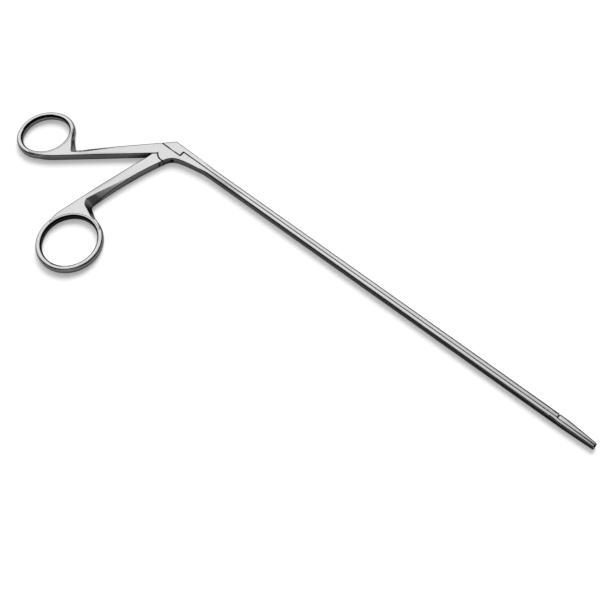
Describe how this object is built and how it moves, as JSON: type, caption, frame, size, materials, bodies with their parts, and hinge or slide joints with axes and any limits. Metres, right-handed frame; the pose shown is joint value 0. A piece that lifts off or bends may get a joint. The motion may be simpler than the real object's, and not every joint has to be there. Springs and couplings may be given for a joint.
{
  "type": "alligator ear forceps",
  "caption": "Long-shafted alligator ear forceps: a finger ring and a thumb ring on crossed arms slide a rod that opens a small toothed jaw at the tip.",
  "frame": {"origin": "foot of the handle pivot's axis, on the flat underside of the box, with the forceps lying flat and its jaws closed", "axes": "+X along the shaft to the jaw tip, +Y across the shaft towards the sliding rod, +Z along the pivot's axis, up from the side that lies on a table"},
  "size_m": [0.4202, 0.1214, 0.0055],
  "materials": {
    "handle_steel": "satin",
    "rod_steel": "satin",
    "jaw_steel": "satin",
    "pin_steel": "satin",
    "stud_steel": "satin"
  },
  "bodies": {
    "fixed_half": {"fixed_handle": "handle_steel", "handle_pivot_pin": "pin_steel", "jaw_hinge_rivet": "pin_steel", "rear_guide_stud": "stud_steel", "front_guide_stud": "stud_steel"},
    "finger_half": {"finger_handle": "handle_steel"},
    "rod": {"sliding_rod": "rod_steel", "drive_pin": "pin_steel", "jaw_link_rivet": "pin_steel"},
    "jaw": {"upper_jaw": "jaw_steel"}
  },
  "joints": [
    {"name": "handle_hinge", "type": "hinge", "parent": "fixed_half", "child": "finger_half", "pos_m": [0, 0, 0.00275], "axis": [0, 0, 1], "range_deg": [0, 20.26]},
    {"name": "rod_slide", "type": "slide", "parent": "fixed_half", "child": "rod", "axis": [1, 0, 0], "range_m": [-0.002, 0]},
    {"name": "jaw_hinge", "type": "hinge", "parent": "fixed_half", "child": "jaw", "pos_m": [0.29605, 0.00595, 0.00275], "axis": [0, 0, 1], "range_deg": [0, 40]}
  ],
  "couplings": [
    {"joint": "rod_slide", "follows": "handle_hinge", "m_per_rad": -0.005659},
    {"joint": "jaw_hinge", "follows": "handle_hinge", "ratio": 1.9735}
  ]
}
